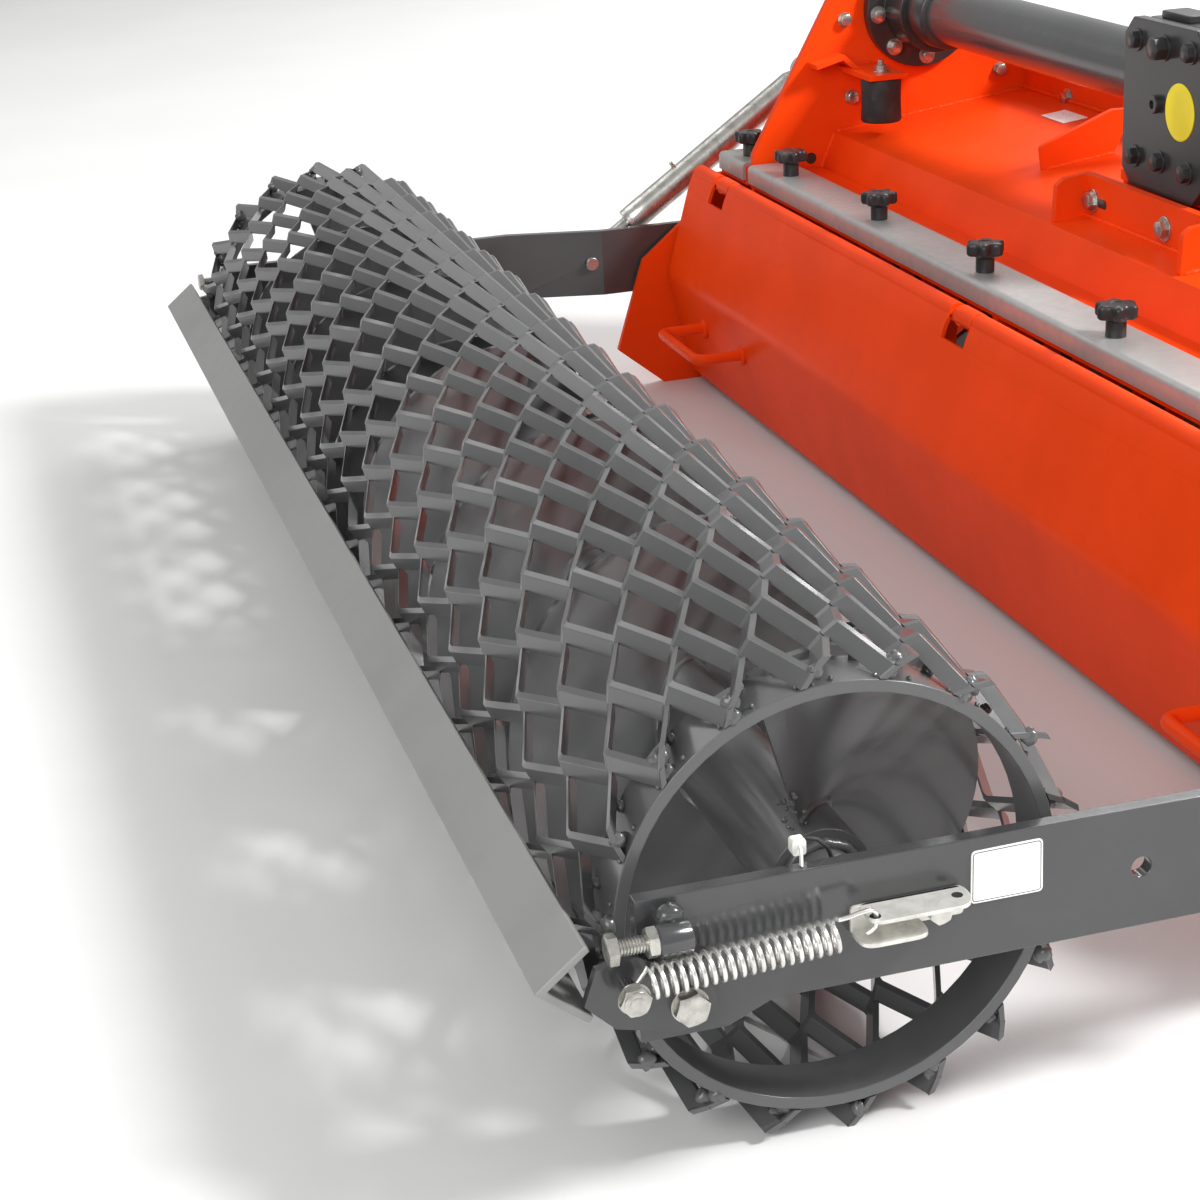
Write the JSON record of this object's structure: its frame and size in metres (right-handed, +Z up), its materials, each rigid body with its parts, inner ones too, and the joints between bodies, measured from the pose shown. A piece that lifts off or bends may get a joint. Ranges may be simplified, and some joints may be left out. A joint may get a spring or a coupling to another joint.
{
  "type": "stone burier",
  "caption": "Tractor-mounted stone burier with a red hood and rear door, and behind it a cage roller of expanded metal on side arms, with a sprung scraper bar",
  "frame": {"origin": "on the ground, at the centre of the bounding box's base", "axes": "+X to the machine's right, +Y in the direction of travel, +Z up"},
  "size_m": [1.764, 1.24, 0.816],
  "materials": {
    "red": "glossy red paint",
    "dark_grey": "satin dark grey paint",
    "steel_grey": "satin grey paint",
    "black_iron": "black painted iron",
    "zinc": "zinc plated",
    "black_rubber": "matt black",
    "black_plastic": "black moulded plastic"
  },
  "bodies": {
    "hood": {"clamp_strips": "steel_grey", "drive_flange": "black_iron", "drive_tube": "steel_grey", "drive_wall": "red", "front_apron": "red", "front_beam": "red", "gearbox": "black_iron", "gearbox_cover": "black_iron", "gearbox_cradle": "red", "hinge_rod": "red", "hood_deck": "red", "hood_pins": "zinc", "lower_link_brackets": "red", "lower_link_pins": "zinc", "rotor_bearing": "black_iron", "rubber_bumper": "black_rubber", "side_drive_case": "red", "side_wall_left": "red", "side_wall_right": "red", "star_knobs": "black_plastic", "stone_comb": "red", "top_link_mast": "red"},
    "door": {"rear_door": "red", "door_handles": "red"},
    "rotor": {"rotor_shaft": "dark_grey", "rotor_blades": "dark_grey"},
    "input": {"input_shaft": "zinc"},
    "roller_frame": {"arm_left": "dark_grey", "arm_right": "dark_grey", "arm_link_pins": "zinc", "roller_bearings": "dark_grey", "scraper_pivot_bolts": "zinc", "stop_bolts": "zinc", "spring_hangers": "zinc", "scraper_springs": "zinc"},
    "roller": {"roller_core": "dark_grey", "roller_flight": "dark_grey", "roller_rings": "dark_grey", "roller_mesh": "dark_grey"},
    "scraper": {"scraper_bar": "dark_grey", "scraper_lugs": "dark_grey"},
    "strut_tube_left": {"strut_tube_left": "zinc"},
    "strut_tube_right": {"strut_tube_right": "zinc"},
    "strut_rod_left": {"strut_rod_left": "zinc"},
    "strut_rod_right": {"strut_rod_right": "zinc"}
  },
  "joints": [
    {"name": "roller_arms", "type": "hinge", "parent": "hood", "child": "roller_frame", "pos_m": [0, 0.199, 0.1575], "axis": [1, 0, 0], "range_deg": [-5, 6]},
    {"name": "roller_spin", "type": "hinge", "parent": "roller_frame", "child": "roller", "pos_m": [0, -0.423, 0.1575], "axis": [1, 0, 0], "continuous": true},
    {"name": "scraper_pivot", "type": "hinge", "parent": "roller_frame", "child": "scraper", "pos_m": [0, -0.529, 0.129], "axis": [1, 0, 0], "range_deg": [0, 20], "stiffness_Nm_per_rad": 4.3, "springref_deg": -80.21, "deforming": ["scraper_springs"]},
    {"name": "door_hinge", "type": "hinge", "parent": "hood", "child": "door", "pos_m": [0, 0.037, 0.261], "axis": [-1, 0, 0], "range_deg": [0, 95]},
    {"name": "rotor_spin", "type": "hinge", "parent": "hood", "child": "rotor", "pos_m": [0, 0.283, 0.156], "axis": [1, 0, 0], "continuous": true},
    {"name": "input_spin", "type": "hinge", "parent": "hood", "child": "input", "pos_m": [0, 0.5235, 0.452], "axis": [0, 1, 0], "continuous": true},
    {"name": "strut_left_swing", "type": "hinge", "parent": "hood", "child": "strut_tube_left", "pos_m": [-0.887, 0.199, 0.362], "axis": [1, 0, 0], "range_deg": [-5, 5]},
    {"name": "strut_left_screw", "type": "slide", "parent": "strut_tube_left", "child": "strut_rod_left", "axis": [0, -0.8263, -0.5633], "range_m": [-0.025, 0.025]},
    {"name": "strut_right_swing", "type": "hinge", "parent": "hood", "child": "strut_tube_right", "pos_m": [0.887, 0.199, 0.362], "axis": [1, 0, 0], "range_deg": [-5, 5]},
    {"name": "strut_right_screw", "type": "slide", "parent": "strut_tube_right", "child": "strut_rod_right", "axis": [0, -0.8263, -0.5633], "range_m": [-0.025, 0.025]}
  ],
  "couplings": [
    {"joint": "strut_left_swing", "follows": "roller_arms", "ratio": 0.6827},
    {"joint": "strut_left_screw", "follows": "roller_arms", "m_per_rad": 0.16898},
    {"joint": "strut_right_swing", "follows": "roller_arms", "ratio": 0.6827},
    {"joint": "strut_right_screw", "follows": "roller_arms", "m_per_rad": 0.16898}
  ]
}
